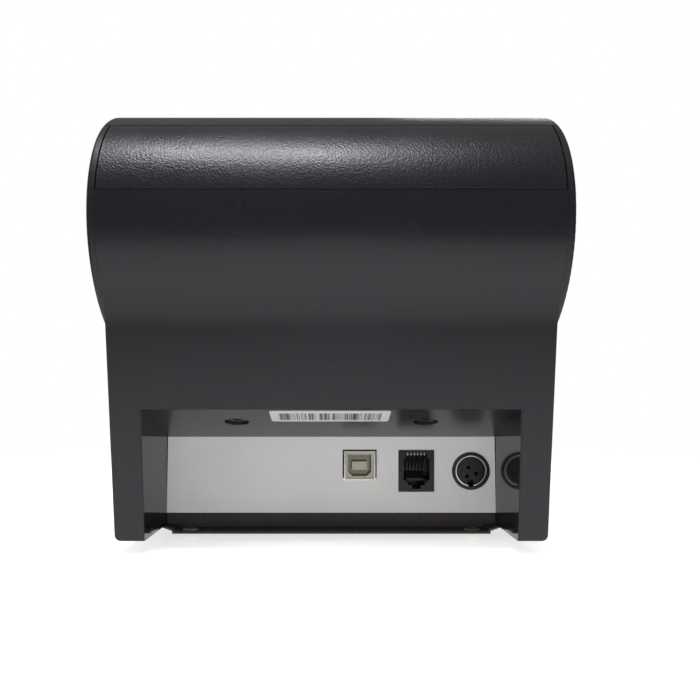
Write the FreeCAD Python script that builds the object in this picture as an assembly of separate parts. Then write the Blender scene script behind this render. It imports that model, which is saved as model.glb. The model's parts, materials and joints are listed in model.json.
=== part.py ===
import FreeCAD, Part
import math
import os
from FreeCAD import Vector

# Desktop receipt printer, millimetres. +Z is up, the front faces -Y and the sockets are at the rear.
# The origin is on the table, under the middle of the printer.

# Outline of the side view: a round rear, a smaller round front and the straight top between them
REAR_Y = 56.0
REAR_Z = 109.3
REAR_R = 41.3
FRONT_Y = -62.0
FRONT_Z = 90.0
FRONT_R = 35.5
REAR = (REAR_Y, REAR_Z, REAR_R)
FRONT = (FRONT_Y, FRONT_Z, FRONT_R)
CASE_BOTTOM = 4.3
NECK_R = 42.0
WALL_FOOT_Y = 78.3
WALL_LEAN = 0.1275
WALL = 2.5

# Widths, measured from the middle plane
HALF_WAIST = 72.2
HALF_FOOT = 72.1
FOOT_R = 2.0
HALF_CORE = 72.3
HALF_OUT = 74.8
END_EDGE_R = 1.0
SEAM = 0.4
SIDE_SEAM = 0.25

# Split lines
SEAM_2_DEG = 8.8
SEAM_HALF_DEG = 0.25
LID_REAR_R = 59.0
LID_SEAM_DEG = 51.0
LID_THICK = 2.5
LID_SKIRT = 4.3
FRAME_INSET = 4.1
FRAME_THICK = 1.4
EXIT_REAR_Y = -51.5
EXIT_FRONT_Y = -57.5
EXIT_HALF = 41.5
FRONT_SPLIT_Y = -46.0

# Lid hinge
HINGE_Y = 62.0
HINGE_Z = 141.0
HINGE_SWEEP = 20.0
PIN_R = 2.0
FIT = 0.05
ARM_X0 = 43.6
ARM_X1 = 45.2

# Recess for the sockets
RECESS_HALF_TOP = 61.7
RECESS_HALF_FOOT = 62.25
CEILING_REAR_Y = 83.9
CEILING_REAR_Z = 48.2
PANEL_Y = 49.5
CEILING_PANEL_Z = 37.5
PANEL_LOW_Z = 8.7
CEILING_SLOPE = (CEILING_REAR_Z - CEILING_PANEL_Z) / (CEILING_REAR_Y - PANEL_Y)
CEILING_SCREW_X = 32.8
CEILING_SCREW_Y = 69.4
CEILING_SCREW_R = 4.25
LABEL_Y = 76.4

# Steel base plate, its screws and the ledge behind it
PAN_LOW_Z = 2.5
SHEET = 0.8
PAN_TOP_Z = PAN_LOW_Z + SHEET
EAR_LOW_Z = CASE_BOTTOM - SHEET
BASE_HALF = 69.0
BASE_SCREWS = ((-62.2, -70.0), (62.2, -70.0), (-62.2, 36.0), (62.2, 36.0))
FOOT_X = 48.0
FOOT_FRONT_Y = -78.0
FOOT_REAR_Y = 33.0
LEDGE_SCREW_X = 52.2
LEDGE_SCREW_Y = 53.4
LEDGE_REAR_Y = 57.8
LEDGE_HALF = 58.1
LEDGE_CORNER_Y = 51.5

# Paper roll bay
ROLL_Y = 22.0
ROLL_Z = 88.0
ROLL_R = 43.0
ROLL_HALF = 41.0
LEVER_Y = 33.0
LEVER_Z = 69.0

# Platen and gears
PLATEN_Y = -37.0
PLATEN_Z = 108.0
PLATEN_TILT = 30.0
PLATEN_R = 6.0
SHAFT_R = 3.0
BUSH_R = 4.0
MODULE = 0.8
PLATEN_TEETH = 20
IDLER_TEETH = 30
PINION_TEETH = 12
GEAR_X0 = 51.0
GEAR_X1 = 55.0
PLATE_X0 = 46.0
PLATE_X1 = 47.6

# Cutter
CUT_TEETH = 24
CUT_GEAR_X = 14.0
CUT_GEAR_V = -26.0
CUT_STROKE = 12.0

# Sockets on the white panel: middle of each one
USB_X = -10.7
USB_Z = 26.8
USB_SHELL_HALF = 5.85
USB_SHELL_LOW = 5.65
USB_SHELL_HIGH = 5.2
USB_SHELL_WALL = 0.45
USB_HOLE_HALF = 6.4
USB_HOLE_HIGH = 5.77
JACK_X = -32.1
JACK_Z = 24.5
POWER_X = -52.7
POWER_Z = 24.5
JACK_TOP_Z = 32.3
JACK_PITCH = 1.27
POWER_PINS = ((0.75, 1.25), (-2.2, -1.1), (1.3, -2.1))
BOARD_LOW_Z = 33.4
BOARD_SCREWS = ((-53.5, -47.0), (36.0, -47.0), (-53.5, 10.0), (36.0, 10.0))

# Control panel on the rounded front, cover release and mains switch
PANEL_DEG = 52.0
BUTTON_X = 46.0
BUTTON_R = 5.0
LED_X = (26.0, 31.0, 36.0)
RELEASE_X0 = -64.0
RELEASE_X1 = -50.0
SWITCH_X = -52.0
SWITCH_Z = 24.0
SWITCH_HALF_X = 7.0
SWITCH_HALF_Z = 10.5
BEZEL_PROUD = 0.4
ROCKER_DEPTH = 6.8
ROCKER_REST = -8.0


def box(x0, x1, y0, y1, z0, z1):
    return Part.makeBox(x1 - x0, y1 - y0, z1 - z0, Vector(x0, y0, z0))


def rod_x(y, z, radius, x0, x1):
    return Part.makeCylinder(radius, x1 - x0, Vector(x0, y, z), Vector(1, 0, 0))


def rod_y(x, z, radius, y0, y1):
    return Part.makeCylinder(radius, y1 - y0, Vector(x, y0, z), Vector(0, 1, 0))


def rod_z(x, y, radius, z0, z1):
    return Part.makeCylinder(radius, z1 - z0, Vector(x, y, z0), Vector(0, 0, 1))


def side_prism(points, x0, x1):
    """A prism along X on an outline of (y, z) points."""
    ring = [Vector(x0, y, z) for y, z in points]
    face = Part.Face(Part.makePolygon(ring + ring[:1]))
    return face.extrude(Vector(x1 - x0, 0, 0))


def plan_prism(points, z0, z1):
    """A prism along Z on an outline of (x, y) points."""
    ring = [Vector(x, y, z0) for x, y in points]
    face = Part.Face(Part.makePolygon(ring + ring[:1]))
    return face.extrude(Vector(0, 0, z1 - z0))


def rear_prism(points, y0, y1):
    """A prism along Y on an outline of (x, z) points."""
    ring = [Vector(x, y0, z) for x, z in points]
    face = Part.Face(Part.makePolygon(ring + ring[:1]))
    return face.extrude(Vector(0, y1 - y0, 0))


def fuse(shapes):
    first = shapes[0]
    if len(shapes) > 1:
        first = first.multiFuse(shapes[1:])
    return first.removeSplitter()


def cut(shape, tools):
    for tool in tools:
        shape = shape.cut(tool)
    return shape


def mirrored(shape):
    return shape.mirror(Vector(0, 0, 0), Vector(1, 0, 0))


def both_sides(shape):
    return Part.makeCompound([shape, mirrored(shape)])


def turned(shape, degrees, y, z):
    copy = shape.copy()
    copy.rotate(Vector(0, y, z), Vector(1, 0, 0), degrees)
    return copy


def tilted(shape):
    """From the platen's own frame, where paper rises along Z, to its place in the printer."""
    copy = shape.copy()
    copy.rotate(Vector(0, 0, 0), Vector(1, 0, 0), PLATEN_TILT)
    copy.translate(Vector(0, PLATEN_Y, PLATEN_Z))
    return copy


def tilted_point(v, w):
    angle = math.radians(PLATEN_TILT)
    y = PLATEN_Y + v * math.cos(angle) - w * math.sin(angle)
    z = PLATEN_Z + v * math.sin(angle) + w * math.cos(angle)
    return y, z


def save(name, shape):
    os.makedirs("parts", exist_ok=True)
    solids = shape.Solids
    if not solids or not shape.isValid():
        raise ValueError(name + " isn't a valid solid")
    result = solids[0] if len(solids) == 1 else Part.makeCompound(solids)
    result.exportStep("parts/" + name + ".step")
    print(name, len(solids), round(sum(solid.Volume for solid in solids), 1))


def wall_y(z, inset):
    return WALL_FOOT_Y + WALL_LEAN * (z - CASE_BOTTOM) - inset


def tangent_normal(rear, front, side):
    """Unit normal of the straight line that touches two circles, on the upper (1) or lower (-1) side."""
    along_y = front[0] - rear[0]
    along_z = front[1] - rear[1]
    length = math.hypot(along_y, along_z)
    lean = (rear[2] - front[2]) / length
    rise = side * math.sqrt(1.0 - lean * lean)
    return ((lean * along_y + rise * along_z) / length, (lean * along_z - rise * along_y) / length)


def capsule(rear, front, inset, x0, x1):
    """A long rounded body along Y between two circles (y, z, radius), smaller all round by the inset."""
    upper = tangent_normal(rear, front, 1.0)
    lower = tangent_normal(rear, front, -1.0)
    rear_r = rear[2] - inset
    front_r = front[2] - inset
    corners = [
        (rear[0] + rear_r * upper[0], rear[1] + rear_r * upper[1]),
        (front[0] + front_r * upper[0], front[1] + front_r * upper[1]),
        (front[0] + front_r * lower[0], front[1] + front_r * lower[1]),
        (rear[0] + rear_r * lower[0], rear[1] + rear_r * lower[1]),
    ]
    points = [Vector(x0, y, z) for y, z in corners]
    edges = [
        Part.LineSegment(points[0], points[1]).toShape(),
        Part.Arc(points[1], Vector(x0, front[0] - front_r, front[1]), points[2]).toShape(),
        Part.LineSegment(points[2], points[3]).toShape(),
        Part.Arc(points[3], Vector(x0, rear[0] + rear_r, rear[1]), points[0]).toShape(),
    ]
    return Part.Face(Part.Wire(edges)).extrude(Vector(x1 - x0, 0, 0))


def lid_circle():
    """The lid's flatter round rear, flush with the rear cover at the seam between them."""
    angle = math.radians(LID_SEAM_DEG)
    back = LID_REAR_R - REAR_R
    return (REAR_Y - back * math.cos(angle), REAR_Z - back * math.sin(angle), LID_REAR_R)


def pod(inset, x0, x1):
    """The upper body of the case."""
    return capsule(REAR, FRONT, inset, x0, x1)


def lid_pod(inset, x0, x1):
    """The body whose top the lid follows."""
    return capsule(lid_circle(), FRONT, inset, x0, x1)


def lid_ring(outer, inner):
    """The skin of the lid's body between two insets, right across the printer."""
    return lid_pod(outer, -80, 80).cut(lid_pod(inner, -81, 81))


def neck_points(inset):
    """Where the hollow blend between the round rear and the leaning wall starts and ends."""
    slope = math.hypot(1.0, WALL_LEAN)
    along = (WALL_LEAN / slope, 1.0 / slope)
    out = (1.0 / slope, -WALL_LEAN / slope)
    depth = (REAR_Y - WALL_FOOT_Y) * out[0] + (REAR_Z - CASE_BOTTOM) * out[1]
    reach = REAR_R + NECK_R
    drop = math.sqrt(reach * reach - (NECK_R - depth) ** 2)
    centre = (REAR_Y + (NECK_R - depth) * out[0] - drop * along[0],
              REAR_Z + (NECK_R - depth) * out[1] - drop * along[1])
    radius = NECK_R + inset
    wall_end = (centre[0] - radius * out[0], centre[1] - radius * out[1])
    aim = ((REAR_Y - centre[0]) / reach, (REAR_Z - centre[1]) / reach)
    round_end = (centre[0] + radius * aim[0], centre[1] + radius * aim[1])
    middle = (aim[0] - out[0], aim[1] - out[1])
    length = math.hypot(middle[0], middle[1])
    halfway = (centre[0] + radius * middle[0] / length, centre[1] + radius * middle[1] / length)
    return wall_end, halfway, round_end


def envelope(inset, x0, x1):
    """The whole side view as a solid: the rounded upper body, blended into the lower case."""
    front = FRONT_Y - FRONT_R + inset
    wall_end, halfway, round_end = neck_points(inset)
    line = [(round_end[0], round_end[1]), (REAR_Y, REAR_Z), (FRONT_Y, FRONT_Z), (front, FRONT_Z),
            (front, CASE_BOTTOM), (wall_y(CASE_BOTTOM, inset), CASE_BOTTOM), wall_end]
    points = [Vector(x0, y, z) for y, z in line]
    edges = [Part.LineSegment(first, second).toShape() for first, second in zip(points, points[1:])]
    edges.append(Part.Arc(points[-1], Vector(x0, halfway[0], halfway[1]), points[0]).toShape())
    lower = Part.Face(Part.Wire(edges)).extrude(Vector(x1 - x0, 0, 0))
    return pod(inset, x0, x1).fuse(lower).removeSplitter()


def lid_zone(x0, x1, grow, end_y):
    """Space that belongs to the lid: forward of the hinge, and the round sweep behind it."""
    ahead = box(x0, x1, end_y, HINGE_Y, REAR_Z + 1.0, REAR_Z + 60.0)
    return ahead.fuse(rod_x(HINGE_Y, HINGE_Z, HINGE_SWEEP + grow, x0, x1))


def gear(teeth, thickness, bore):
    """A spur gear along +Z with straight-flanked teeth and a little backlash."""
    pitch = MODULE * teeth / 2.0
    tip = pitch + 0.9 * MODULE
    root = pitch - 1.2 * MODULE
    step = 2.0 * math.pi / teeth
    at_root = 0.29 * step
    at_tip = 0.10 * step
    points = []
    for index in range(teeth):
        middle = index * step
        for radius, offset in ((root, -at_root), (tip, -at_tip), (tip, at_tip), (root, at_root)):
            angle = middle + offset
            points.append(Vector(radius * math.cos(angle), radius * math.sin(angle), 0))
    face = Part.Face(Part.makePolygon(points + points[:1]))
    solid = face.extrude(Vector(0, 0, thickness))
    return solid.cut(Part.makeCylinder(bore, thickness + 2.0, Vector(0, 0, -1)))


def gear_on_x(teeth, y, z, turn, bore):
    """The same gear with its shaft along X. A turn of 0 points one tooth along +Y."""
    solid = gear(teeth, GEAR_X1 - GEAR_X0, bore)
    solid.rotate(Vector(0, 0, 0), Vector(0, 0, 1), turn)
    solid.rotate(Vector(0, 0, 0), Vector(1, 1, 1), 120.0)
    solid.translate(Vector(GEAR_X0, y, z))
    return solid


def gear_centres():
    """Idler and motor pinion, placed so that the platen gear lifts straight out of mesh."""
    reach_y = PLATEN_Y - HINGE_Y
    reach_z = PLATEN_Z - HINGE_Z
    reach = math.hypot(reach_y, reach_z)
    down = (-reach_z / reach, reach_y / reach)
    first = MODULE * (PLATEN_TEETH + IDLER_TEETH) / 2.0 + 0.12
    idler = (PLATEN_Y + down[0] * first, PLATEN_Z + down[1] * first)
    second = MODULE * (IDLER_TEETH + PINION_TEETH) / 2.0 + 0.12
    aim = math.radians(233.0)
    pinion = (idler[0] + second * math.cos(aim), idler[1] + second * math.sin(aim))
    return idler, pinion


def bearing_deg(start, end):
    return math.degrees(math.atan2(end[1] - start[1], end[0] - start[0]))


IDLER, PINION = gear_centres()


def taper():
    """Narrows the lower case a little towards its foot and rounds the foot's outer corners."""
    top = REAR_Z - 25.0
    half = [(HALF_FOOT, CASE_BOTTOM - 8.0), (HALF_WAIST, top), (HALF_CORE, top), (HALF_CORE, 200.0)]
    outline = half + [(-x, z) for x, z in reversed(half)]
    block = rear_prism(outline, -120.0, 120.0)
    corner = box(HALF_FOOT - FOOT_R, 80.0, -121.0, 121.0, CASE_BOTTOM - 10.0, CASE_BOTTOM + FOOT_R)
    corner = corner.cut(rod_y(HALF_FOOT - FOOT_R, CASE_BOTTOM + FOOT_R, FOOT_R, -122.0, 122.0))
    return cut(block, [corner, mirrored(corner)])


def recess_void():
    """The cable recess: a sloping ceiling, upright sides and an open foot."""
    far = 100.0
    side = side_prism(
        [(PANEL_Y, -5.0), (far, -5.0), (far, CEILING_PANEL_Z + CEILING_SLOPE * (far - PANEL_Y)),
         (PANEL_Y, CEILING_PANEL_Z)], -80.0, 80.0)
    front = rear_prism(
        [(-RECESS_HALF_FOOT, -5.0), (RECESS_HALF_FOOT, -5.0), (RECESS_HALF_TOP, CEILING_REAR_Z),
         (RECESS_HALF_TOP - 0.1, 70.0), (-RECESS_HALF_TOP + 0.1, 70.0), (-RECESS_HALF_TOP, CEILING_REAR_Z)],
        PANEL_Y - 1.0, far)
    return side.common(front)


def recess_liner():
    """Ceiling and side walls round the recess, as solid stock before the recess is cut."""
    thick = 2.2
    far = 100.0
    low = PANEL_Y - 1.6
    stock = side_prism(
        [(low, CASE_BOTTOM), (far, CASE_BOTTOM), (far, ceiling_point(far) + thick),
         (low, CEILING_PANEL_Z + thick)],
        -RECESS_HALF_FOOT - 2.2, RECESS_HALF_FOOT + 2.2)
    behind_panel = box(-RECESS_HALF_FOOT, RECESS_HALF_FOOT, low - 1.0, PANEL_Y, 0.0, CEILING_PANEL_Z)
    return stock.common(envelope(0.0, -80.0, 80.0)).cut(behind_panel)


def leg_floor():
    """The closed underside of each leg, up to the base plate."""
    floor = box(RECESS_HALF_FOOT + 0.1, 80.0, PANEL_Y - 1.6, 90.0, CASE_BOTTOM, CASE_BOTTOM + 2.0)
    floor = floor.common(envelope(0.0, -80.0, 80.0))
    return floor.fuse(mirrored(floor))


def base_boss(x, y):
    """A hollow pillar inside the case wall that one base screw drives into, on a web from the wall."""
    side = math.copysign(1.0, x)
    pillar = rod_z(x, y, 3.6, CASE_BOTTOM, 14.0)
    web = box(abs(x), HALF_FOOT - 1.5, y - 1.5, y + 1.5, 9.0, 14.0)
    web = web if side > 0 else mirrored(web)
    return pillar.fuse(web).cut(rod_z(x, y, 1.4, 0.0, 12.0))


def bottom_opening():
    """The open underside of the case, inside its walls."""
    return box(-HALF_FOOT + 2.4, HALF_FOOT - 2.4, FRONT_Y - FRONT_R + WALL, WALL_FOOT_Y - WALL - 0.1, 0.0,
               CASE_BOTTOM + WALL + 0.5)


def side_seats():
    """Room beside the case for the two side panels."""
    seat = pod(-0.05, HALF_CORE, 80.0)
    return seat.fuse(mirrored(seat))


def ceiling_point(y):
    return CEILING_PANEL_Z + CEILING_SLOPE * (y - PANEL_Y)


def ceiling_axis():
    return Vector(0, CEILING_SLOPE, -1).normalize()


def ceiling_pin(x, radius, start, end):
    """A round bar square to the sloping ceiling. Distances count inwards from its surface."""
    axis = ceiling_axis()
    base = Vector(x, CEILING_SCREW_Y, ceiling_point(CEILING_SCREW_Y))
    return Part.makeCylinder(radius, end - start, base - axis * end, axis)


def main_housing():
    """Lower case: side walls, rear wall, the seat of the rear cover, the recess and the legs."""
    shell = envelope(0.0, -80.0, 80.0).common(taper())
    inner = envelope(WALL, -HALF_CORE + 2.4, HALF_CORE - 2.4)
    shell = shell.cut(inner)
    shell = shell.cut(side_seats())
    shell = shell.cut(bottom_opening())
    shell = shell.fuse([leg_floor().common(taper()), recess_liner()])
    for x in (-CEILING_SCREW_X, CEILING_SCREW_X):
        shell = shell.fuse(ceiling_pin(x, CEILING_SCREW_R + 1.6, 0.5, 7.0))
    shell = shell.cut(recess_void())
    for x in (-CEILING_SCREW_X, CEILING_SCREW_X):
        shell = shell.cut(ceiling_pin(x, CEILING_SCREW_R, -4.0, 2.9))
        shell = shell.cut(ceiling_pin(x, 1.55, -4.0, 7.6))
    shell = shell.fuse([base_boss(x, y) for x, y in BASE_SCREWS if y > 0])
    shell = shell.cut(box(-80, 80, -120, FRONT_SPLIT_Y, -10, 200))
    opening = rear_wedge(SEAM_2_DEG - SEAM_HALF_DEG, 62.0, 60.0)
    opening = opening.common(box(-HALF_CORE, HALF_CORE, -120, 120, 0, 200))
    shell = shell.cut(opening.common(ring(-1.0, WALL + 0.05)))
    shell = shell.cut(lid_room())
    seat = ring(WALL + 0.05, 4.6).common(rear_wedge(SEAM_2_DEG - 5.0, 62.0, 60.0))
    seat = seat.common(box(-HALF_CORE, HALF_CORE, -120, 120, 0, 200))
    seat = seat.cut(rear_wedge(SEAM_2_DEG + 5.0, 44.0, 60.0).common(box(-62, 62, -120, 120, 0, 200)))
    return fuse([shell, seat.cut(lid_room())])


def lid_room():
    """Everything that the case keeps free for the lid: its skirts and the round sweep of its rear."""
    over = box(-80, 80, EXIT_REAR_Y - SEAM, HINGE_Y + 1, 110, 200).cut(lid_pod(LID_SKIRT + SEAM, -81, 81))
    inner_half = HALF_CORE - WALL
    middle = box(-inner_half, inner_half, EXIT_REAR_Y - SEAM, HINGE_Y + 1, 118, 200)
    return over.fuse(middle).fuse(rod_x(HINGE_Y, HINGE_Z, HINGE_SWEEP + SEAM + 0.2, -80, 80))


def ring(outer, inner):
    """The skin of the upper body between two insets, right across the printer."""
    return pod(outer, -80, 80).cut(pod(inner, -81, 81))


def rear_wedge(low_deg, high_deg, reach):
    """The sector between two angles above level, about the middle of the round rear."""
    points = [(REAR_Y, REAR_Z)]
    for degrees in (low_deg, high_deg):
        angle = math.radians(degrees)
        points.append((REAR_Y + reach * math.cos(angle) * 1.3, REAR_Z + reach * math.sin(angle) * 1.3))
    return side_prism(points, -80, 80)


def rear_cover():
    """The grained cover over the round rear."""
    skin = ring(0.0, WALL).common(rear_wedge(SEAM_2_DEG + SEAM_HALF_DEG, 60.0, 60.0))
    half = HALF_CORE + 0.05 - SIDE_SEAM
    skin = skin.common(box(-half, half, -120, 120, 0, 200))
    skin = skin.cut(rod_x(HINGE_Y, HINGE_Z, HINGE_SWEEP + SEAM, -80, 80))
    return skin


def side_panel():
    """The smooth rounded panel that closes one end of the upper body."""
    slab = pod(0.0, HALF_CORE + 0.05, HALF_OUT)
    outer = [edge for edge in slab.Edges if edge.BoundBox.XMin > HALF_OUT - 0.01]
    slab = slab.makeFillet(END_EDGE_R, outer)
    return slab.cut(lid_room())


def lid_cover():
    """The paper lid: a thin skin over the top with a skirt and a round cheek at each end."""
    skin = lid_ring(0.0, LID_THICK).common(lid_zone(-HALF_OUT, HALF_OUT, 0.0, EXIT_REAR_Y))
    skirt = lid_ring(0.0, LID_SKIRT).common(lid_zone(HALF_CORE - 0.9, HALF_OUT, 0.0, EXIT_REAR_Y))
    cheek = rod_x(HINGE_Y, HINGE_Z, HINGE_SWEEP, HALF_CORE - 0.9, HALF_OUT)
    cheek = cheek.common(lid_pod(0.0, 0, 80))
    side = fuse([skirt, cheek])
    body = fuse([skin, side, mirrored(side)])
    return body.makeFillet(END_EDGE_R, [edge for edge in body.Edges if lies_on_lid_rim(edge)])


def lies_on_lid_rim(edge):
    """True for an edge at one end of the lid, on the lid's outer surface."""
    inside = lid_pod(0.02, -81, 81)
    start, end = edge.ParameterRange
    points = [edge.valueAt(value) for value in (start, (start + end) / 2.0, end)]
    at_end = all(abs(abs(point.x) - HALF_OUT) < 0.01 for point in points)
    return at_end and not any(inside.isInside(point, 0.001, True) for point in points)


def lid_frame():
    """The lid's inner frame: two arms from the hinge to the platen, joined under the cover."""
    seat_y, seat_z = tilted_point(0.0, 0.0)
    hinge_low = (HINGE_Y + 3.0, HINGE_Z - 4.2)
    arm = side_prism(
        [(HINGE_Y + 3.0, HINGE_Z + 4.0), hinge_low, (10.0, 124.0), (seat_y + 8.5, seat_z - 3.5),
         (seat_y + 3.0, seat_z - 5.6), (seat_y - 3.0, seat_z - 4.6), (seat_y - 4.0, seat_z + 12.0),
         (seat_y - 2.0, seat_z + 24.0), (20.0, 150.0)], ARM_X0, ARM_X1)
    arm = arm.common(lid_pod(FRAME_INSET, 0, 80))
    arm = arm.fuse(rod_x(HINGE_Y, HINGE_Z, 5.0, ARM_X0, ARM_X1))
    arm = arm.fuse(rod_x(seat_y, seat_z, 6.0, ARM_X0, ARM_X1))
    arm = arm.cut(rod_x(HINGE_Y, HINGE_Z, PIN_R + FIT, 40, 50))
    arm = arm.cut(rod_x(seat_y, seat_z, BUSH_R, 40, 50))
    panel = lid_ring(FRAME_INSET, FRAME_INSET + FRAME_THICK)
    panel = panel.common(box(-ARM_X1, ARM_X1, -40.0, 48.0, 100, 200))
    posts = []
    for x in (-30.0, 30.0):
        for y in (-20.0, 36.0):
            post = rod_z(x, y, 4.0, 110.0, 170.0).common(lid_ring(LID_THICK, FRAME_INSET + FRAME_THICK))
            posts.append(post)
    body = fuse([arm, mirrored(arm), panel] + posts)
    for x in (-30.0, 30.0):
        for y in (-20.0, 36.0):
            body = body.cut(rod_z(x, y, 1.2, 110.0, 170.0))
    return body


def lid_screws():
    """Four screws that hold the cover on its frame, driven from below."""
    screws = []
    for x in (-30.0, 30.0):
        for y in (-20.0, 36.0):
            floor = surface_z(y, FRAME_INSET + FRAME_THICK)
            head = rod_z(x, y, 2.6, floor - 2.8, floor - 0.8)
            shank = rod_z(x, y, 1.15, floor - 0.9, floor + 2.4)
            screws.append(head.fuse(shank).removeSplitter())
    return Part.makeCompound(screws)


def surface_z(y, inset):
    """Height of the straight top at one place, lowered by the inset."""
    rear = lid_circle()
    ty, tz = tangent_normal(rear, FRONT, 1.0)
    level = ty * rear[0] + tz * rear[1] + rear[2] - inset
    return (level - ty * y) / tz


def hinge_pin():
    return rod_x(HINGE_Y, HINGE_Z, PIN_R, 41.6, 49.4)


def hinge_bracket():
    """A steel bracket that carries one hinge pin, in front of the lid's sweep."""
    plate = side_prism([(HINGE_Y - 4.0, HINGE_Z), (HINGE_Y + 1.5, HINGE_Z - 3.6), (61.0, 112.0),
                        (46.0, 106.0), (50.0, 120.0)], PLATE_X0, PLATE_X1)
    plate = plate.fuse(rod_x(HINGE_Y, HINGE_Z, 4.0, PLATE_X0, PLATE_X1))
    plate = plate.cut(rod_x(HINGE_Y, HINGE_Z, PIN_R, 40, 50))
    foot = box(PLATE_X0, 56.0, 48.0, 61.0, 104.0, 105.6)
    web = side_prism([(61.0, 112.0), (46.0, 106.0), (48.0, 104.0), (61.0, 104.0)], PLATE_X0, PLATE_X1)
    return fuse([plate, web, foot])


def paper_bucket():
    """The drop-in bay: a round trough with two cheeks and side flanges."""
    outer = rod_x(ROLL_Y, ROLL_Z, ROLL_R + 2.0, -ROLL_HALF - 2.0, ROLL_HALF + 2.0)
    inner = rod_x(ROLL_Y, ROLL_Z, ROLL_R, -ROLL_HALF, ROLL_HALF)
    rear_wall = box(-ROLL_HALF - 2, ROLL_HALF + 2, ROLL_Y + ROLL_R, ROLL_Y + ROLL_R + 2, ROLL_Z, 104.0)
    front_top = 94.0
    front_wall = box(-ROLL_HALF - 2, ROLL_HALF + 2, ROLL_Y - ROLL_R - 2, ROLL_Y - ROLL_R, ROLL_Z, front_top)
    trough = outer.cut(box(-80, 80, -120, 120, ROLL_Z, 200))
    middle = box(-ROLL_HALF - 2, ROLL_HALF + 2, ROLL_Y - ROLL_R, ROLL_Y + ROLL_R, ROLL_Z, 104.0)
    cheek_cut = side_prism([(ROLL_Y - ROLL_R - 5, front_top), (ROLL_Y - 20.0, front_top), (ROLL_Y, 104.0),
                            (ROLL_Y, 120.0), (ROLL_Y - ROLL_R - 5, 120.0)], -80, 80)
    hollow = box(-ROLL_HALF, ROLL_HALF, ROLL_Y - ROLL_R, ROLL_Y + ROLL_R, ROLL_Z, 200.0)
    body = fuse([trough, rear_wall, front_wall, middle])
    body = cut(body, [inner, hollow, cheek_cut])
    stud = rod_x(LEVER_Y, LEVER_Z, 1.25, -48.4, -ROLL_HALF - 1.0)
    stop = rod_x(LEVER_Y, LEVER_Z, 2.2, -49.6, -48.3)
    finger_slot = box(-50.0, -ROLL_HALF + 1.0, 19.0, 27.5, 54.0, 62.0)
    body = body.cut(finger_slot)
    flange = box(ROLL_HALF + 2, HALF_CORE - 2.6, 46.0, 66.0, 102.0, 104.0)
    flange_low = box(ROLL_HALF + 2, HALF_CORE - 2.6, -10.0, 10.0, 84.0, 86.0)
    return fuse([body, flange, mirrored(flange), flange_low, mirrored(flange_low), stud, stop])


def near_end_lever():
    """A feeler beside the bay whose finger reaches the roll's core when the roll is nearly used up."""
    arm = side_prism([(30.0, 69.0), (34.0, 69.0), (26.0, 57.0), (22.0, 57.0)], -45.0, -43.6)
    hub = rod_x(LEVER_Y, LEVER_Z, 3.2, -46.6, -43.6)
    finger = rod_x(23.6, 58.6, 1.4, -43.7, -40.2)
    return fuse([arm, hub, finger]).cut(rod_x(LEVER_Y, LEVER_Z, 1.25 + FIT, -50, -40))


def mechanism_frame():
    """Folded steel frame: two side plates with platen slots on a floor, and the head's back bar."""
    slot = [(-BUSH_R - 0.35, 0.0), (-BUSH_R - 0.35, 20.0), (BUSH_R + 6.5, 20.0), (BUSH_R + 0.5, 0.0)]
    corners = [tilted_point(9.0, 3.0), (-20.0, 99.0), (-20.0, 56.5), (-62.0, 56.5), (-69.0, 84.0),
               tilted_point(-31.0, -6.0), tilted_point(-31.0, 6.4), tilted_point(-6.0, 6.4)]
    plate = side_prism(corners, PLATE_X0, PLATE_X1)
    plate = plate.cut(tilted(side_prism(slot, 40, 50)))
    plate = plate.cut(rod_x(PLATEN_Y, PLATEN_Z, BUSH_R + 0.35, 40, 50))
    py, pz = tilted_point(-11.0, -7.0)
    plate = plate.cut(rod_x(py, pz, 1.5 + FIT, 40, 50))
    floor = box(-66.0, 66.0, -62.0, -20.0, 56.5, 58.0)
    bar = tilted(box(-PLATE_X0, PLATE_X0, -17.2, -15.6, -5.0, 5.0))
    stud = rod_x(IDLER[0], IDLER[1], 1.5, PLATE_X1, GEAR_X1 + 1.2)
    body = fuse([plate, mirrored(plate), floor, bar, stud])
    shaft_hole = rod_x(PINION[0], PINION[1], 5.0, 40, 50)
    return body.cut(shaft_hole)


def frame_posts():
    """Four posts that stand on the base plate and carry the mechanism frame."""
    posts = []
    for x in (-62.0, 62.0):
        for y in (-56.0, -27.0):
            posts.append(rod_z(x, y, 3.5, CASE_BOTTOM, 56.5))
    return Part.makeCompound(posts)


def platen_shaft():
    return rod_x(PLATEN_Y, PLATEN_Z, SHAFT_R, -49.5, GEAR_X1 + 1.0)


def platen_rubber():
    return rod_x(PLATEN_Y, PLATEN_Z, PLATEN_R, -40.0, 40.0).cut(platen_shaft())


def platen_gear():
    solid = gear_on_x(PLATEN_TEETH, PLATEN_Y, PLATEN_Z, 0.0, SHAFT_R)
    down = bearing_deg((PLATEN_Y, PLATEN_Z), IDLER)
    return turned(solid, down, PLATEN_Y, PLATEN_Z)


def idler_gear():
    solid = gear_on_x(IDLER_TEETH, IDLER[0], IDLER[1], 0.0, 1.5 + FIT)
    up = bearing_deg(IDLER, (PLATEN_Y, PLATEN_Z))
    return turned(solid, up + 180.0 / IDLER_TEETH, IDLER[0], IDLER[1])


def idler_phase():
    """Angle of one idler tooth, so that the motor pinion can mesh with it."""
    return bearing_deg(IDLER, (PLATEN_Y, PLATEN_Z)) + 180.0 / IDLER_TEETH


def motor_pinion():
    toward = bearing_deg(IDLER, PINION)
    step = 360.0 / IDLER_TEETH
    offset = (toward - idler_phase()) / step
    offset = offset - math.floor(offset)
    own_step = 360.0 / PINION_TEETH
    turn = toward + 180.0 + own_step / 2.0 + offset * own_step
    solid = gear_on_x(PINION_TEETH, PINION[0], PINION[1], 0.0, 1.0)
    return turned(solid, turn, PINION[0], PINION[1])


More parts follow.
